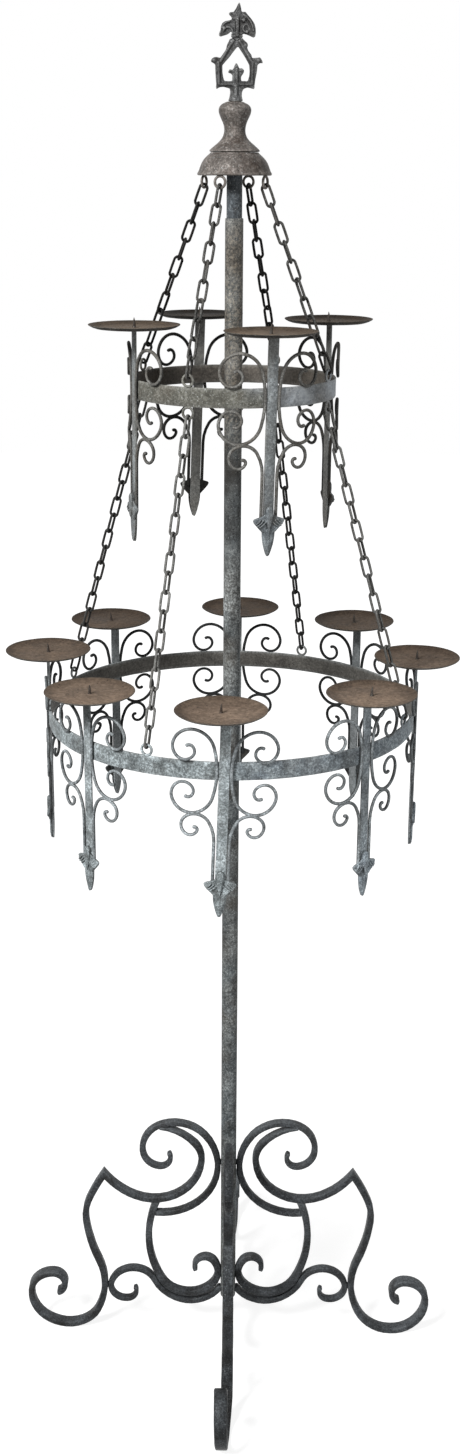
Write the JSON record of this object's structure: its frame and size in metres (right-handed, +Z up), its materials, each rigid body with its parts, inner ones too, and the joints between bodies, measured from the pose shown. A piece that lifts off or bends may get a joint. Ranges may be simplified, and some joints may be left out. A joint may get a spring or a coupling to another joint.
{
  "type": "floor candelabra",
  "caption": "Floor-standing forged-iron candelabra: scrolled legs carry a post and telescoping mast, and a bell canopy hangs chained rings of scrolled arms with spiked candle pans.",
  "frame": {"origin": "on the post axis at floor level, under the four feet", "axes": "+Z up along the post, -Y towards the front foot, +X to the right of a person facing the front"},
  "size_m": [0.6622, 0.6622, 2.0376],
  "materials": {
    "weathered_grey": "weathered grey forged iron with pale blue-green mottling, dull",
    "chain_iron": "weathered grey wire links, dull",
    "rusted_pan": "brown rusted iron dish, rough",
    "patina_iron": "brown-grey patinated iron, satin",
    "dark_iron": "dark grey cast iron, satin",
    "charcoal_iron": "charcoal forged bar with bluish-grey rubbed edges, satin"
  },
  "bodies": {
    "stand": {"socket_tube": "weathered_grey", "clamp_screw": "dark_iron", "leg_1_main_bar": "charcoal_iron", "leg_1_top_scroll": "charcoal_iron", "leg_1_inner_curve": "charcoal_iron", "leg_1_brace": "charcoal_iron", "leg_2_main_bar": "charcoal_iron", "leg_2_top_scroll": "charcoal_iron", "leg_2_inner_curve": "charcoal_iron", "leg_2_brace": "charcoal_iron", "leg_3_main_bar": "charcoal_iron", "leg_3_top_scroll": "charcoal_iron", "leg_3_inner_curve": "charcoal_iron", "leg_3_brace": "charcoal_iron", "leg_4_main_bar": "charcoal_iron", "leg_4_top_scroll": "charcoal_iron", "leg_4_inner_curve": "charcoal_iron", "leg_4_brace": "charcoal_iron"},
    "mast": {"mast_tube": "weathered_grey"},
    "canopy": {"canopy_bell": "patina_iron", "baluster": "patina_iron", "finial": "dark_iron"},
    "upper_tier": {"upper_ring": "weathered_grey", "upper_arm_1": "weathered_grey", "upper_arm_2": "weathered_grey", "upper_arm_3": "weathered_grey", "upper_arm_4": "weathered_grey", "upper_pan_1": "rusted_pan", "upper_pan_2": "rusted_pan", "upper_pan_3": "rusted_pan", "upper_pan_4": "rusted_pan"},
    "lower_tier": {"lower_ring": "weathered_grey", "lower_arm_1": "weathered_grey", "lower_arm_2": "weathered_grey", "lower_arm_3": "weathered_grey", "lower_arm_4": "weathered_grey", "lower_arm_5": "weathered_grey", "lower_arm_6": "weathered_grey", "lower_arm_7": "weathered_grey", "lower_arm_8": "weathered_grey", "lower_pan_1": "rusted_pan", "lower_pan_2": "rusted_pan", "lower_pan_3": "rusted_pan", "lower_pan_4": "rusted_pan", "lower_pan_5": "rusted_pan", "lower_pan_6": "rusted_pan", "lower_pan_7": "rusted_pan", "lower_pan_8": "rusted_pan"},
    "upper_chain_1": {"upper_chain_1": "chain_iron"},
    "upper_chain_2": {"upper_chain_2": "chain_iron"},
    "upper_chain_3": {"upper_chain_3": "chain_iron"},
    "upper_chain_4": {"upper_chain_4": "chain_iron"},
    "lower_chain_1": {"lower_chain_1": "chain_iron"},
    "lower_chain_2": {"lower_chain_2": "chain_iron"},
    "lower_chain_3": {"lower_chain_3": "chain_iron"},
    "lower_chain_4": {"lower_chain_4": "chain_iron"}
  },
  "joints": [
    {"name": "mast_slide", "type": "slide", "parent": "stand", "child": "mast", "axis": [0, 0, 1], "range_m": [-0.075, 0.1]},
    {"name": "canopy_turn", "type": "hinge", "parent": "mast", "child": "canopy", "pos_m": [0, 0, 1.857], "axis": [0, 0, 1], "continuous": true},
    {"name": "upper_tier_swing", "type": "hinge", "parent": "canopy", "child": "upper_tier", "pos_m": [0, 0, 1.92168], "axis": [0, 1, 0], "range_deg": [-4, 4]},
    {"name": "lower_tier_swing", "type": "hinge", "parent": "upper_tier", "child": "lower_tier", "pos_m": [0, 0, 1.98873], "axis": [0, 1, 0], "range_deg": [-2, 2]},
    {"name": "upper_chain_1_swing", "type": "hinge", "parent": "canopy", "child": "upper_chain_1", "pos_m": [-0.01881, -0.04033, 1.81294], "axis": [0, 1, 0], "range_deg": [-6, 6]},
    {"name": "upper_chain_2_swing", "type": "hinge", "parent": "canopy", "child": "upper_chain_2", "pos_m": [0.04033, -0.01881, 1.81294], "axis": [0, 1, 0], "range_deg": [-6, 6]},
    {"name": "upper_chain_3_swing", "type": "hinge", "parent": "canopy", "child": "upper_chain_3", "pos_m": [0.01881, 0.04033, 1.81294], "axis": [0, 1, 0], "range_deg": [-6, 6]},
    {"name": "upper_chain_4_swing", "type": "hinge", "parent": "canopy", "child": "upper_chain_4", "pos_m": [-0.04033, 0.01881, 1.81294], "axis": [0, 1, 0], "range_deg": [-6, 6]},
    {"name": "lower_chain_1_swing", "type": "hinge", "parent": "upper_tier", "child": "lower_chain_1", "pos_m": [-0.05896, -0.12643, 1.52729], "axis": [0, 1, 0], "range_deg": [-4.4, 4.4]},
    {"name": "lower_chain_2_swing", "type": "hinge", "parent": "upper_tier", "child": "lower_chain_2", "pos_m": [0.12643, -0.05896, 1.52729], "axis": [0, 1, 0], "range_deg": [-4.4, 4.4]},
    {"name": "lower_chain_3_swing", "type": "hinge", "parent": "upper_tier", "child": "lower_chain_3", "pos_m": [0.05896, 0.12643, 1.52729], "axis": [0, 1, 0], "range_deg": [-4.4, 4.4]},
    {"name": "lower_chain_4_swing", "type": "hinge", "parent": "upper_tier", "child": "lower_chain_4", "pos_m": [-0.12643, 0.05896, 1.52729], "axis": [0, 1, 0], "range_deg": [-4.4, 4.4]}
  ],
  "couplings": [
    {"joint": "upper_chain_1_swing", "follows": "upper_tier_swing", "ratio": 1.4684},
    {"joint": "upper_chain_2_swing", "follows": "upper_tier_swing", "ratio": 1.4684},
    {"joint": "upper_chain_3_swing", "follows": "upper_tier_swing", "ratio": 1.4684},
    {"joint": "upper_chain_4_swing", "follows": "upper_tier_swing", "ratio": 1.4684},
    {"joint": "lower_chain_1_swing", "follows": "lower_tier_swing", "ratio": 2.116},
    {"joint": "lower_chain_2_swing", "follows": "lower_tier_swing", "ratio": 2.116},
    {"joint": "lower_chain_3_swing", "follows": "lower_tier_swing", "ratio": 2.116},
    {"joint": "lower_chain_4_swing", "follows": "lower_tier_swing", "ratio": 2.116}
  ]
}
